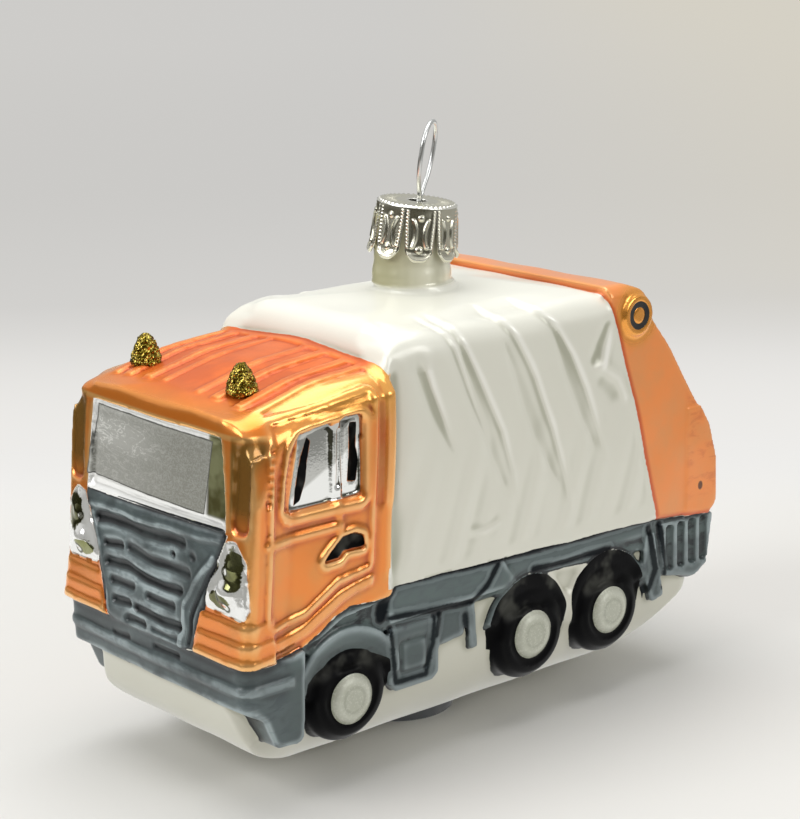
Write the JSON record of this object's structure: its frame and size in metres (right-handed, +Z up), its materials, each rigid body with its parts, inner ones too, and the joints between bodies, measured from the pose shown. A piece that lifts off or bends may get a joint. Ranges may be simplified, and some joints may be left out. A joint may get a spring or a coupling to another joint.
{
  "type": "blown glass garbage truck tree ornament",
  "caption": "Hollow glass tree ornament shaped as a garbage truck, lacquered in colour zones, with a petalled metal cap and a sprung wire hanger.",
  "frame": {"origin": "middle of the overall box at its underside, where the rest disc stands", "axes": "+X towards the truck's nose, +Y to its left side, +Z up"},
  "size_m": [0.1113, 0.0524, 0.1032],
  "materials": {
    "orange_lacquer": "satin orange lacquer over silvered glass",
    "tailgate_orange": "matt satin orange lacquer over silvered glass",
    "pearl_lacquer": "pearl white satin lacquer",
    "neck_silver": "silvered glass under a thin pearl coat",
    "grey_lacquer": "blue-grey satin paint with dark washes in its hollows",
    "black_paint": "black satin paint",
    "silver_glitter": "fine matt silver glitter",
    "windscreen_glitter": "fine silver crackle glitter over bare silvering",
    "bare_silvering": "bare mirror silvering",
    "gold_glitter": "coarse gold glitter",
    "cap_metal": "bright stamped sheet",
    "steel_wire": "drawn bright wire",
    "dark_disc": "matt dark grey"
  },
  "bodies": {
    "ornament": {"beacon_left": "gold_glitter", "beacon_right": "gold_glitter", "belly": "pearl_lacquer", "bumper": "grey_lacquer", "cab": "orange_lacquer", "chassis": "grey_lacquer", "grille": "grey_lacquer", "handle_scoop_left": "black_paint", "handle_scoop_right": "black_paint", "headlamp_left": "bare_silvering", "headlamp_right": "bare_silvering", "hub_front_left": "silver_glitter", "hub_front_right": "silver_glitter", "hub_middle_left": "silver_glitter", "hub_middle_right": "silver_glitter", "hub_rear_left": "silver_glitter", "hub_rear_right": "silver_glitter", "load_body": "pearl_lacquer", "neck": "neck_silver", "pivot_ring_left": "black_paint", "pivot_ring_right": "black_paint", "rest_disc": "dark_disc", "tailgate": "tailgate_orange", "tyre_front_left": "black_paint", "tyre_front_right": "black_paint", "tyre_middle_left": "black_paint", "tyre_middle_right": "black_paint", "tyre_rear_left": "black_paint", "tyre_rear_right": "black_paint", "window_front_left": "bare_silvering", "window_front_right": "bare_silvering", "window_rear_left": "bare_silvering", "window_rear_right": "bare_silvering", "windscreen": "windscreen_glitter"},
    "cap": {"crown_cap": "cap_metal"},
    "hanger": {"wire_hanger": "steel_wire"}
  },
  "joints": [
    {"name": "cap_pull", "type": "slide", "parent": "ornament", "child": "cap", "axis": [0, 0, 1], "range_m": [0, 0.012]},
    {"name": "hanger_swivel", "type": "hinge", "parent": "cap", "child": "hanger", "pos_m": [-0.00285, 0, 0.0847], "axis": [-0.0791, 0.0683, 0.9945], "continuous": true}
  ]
}
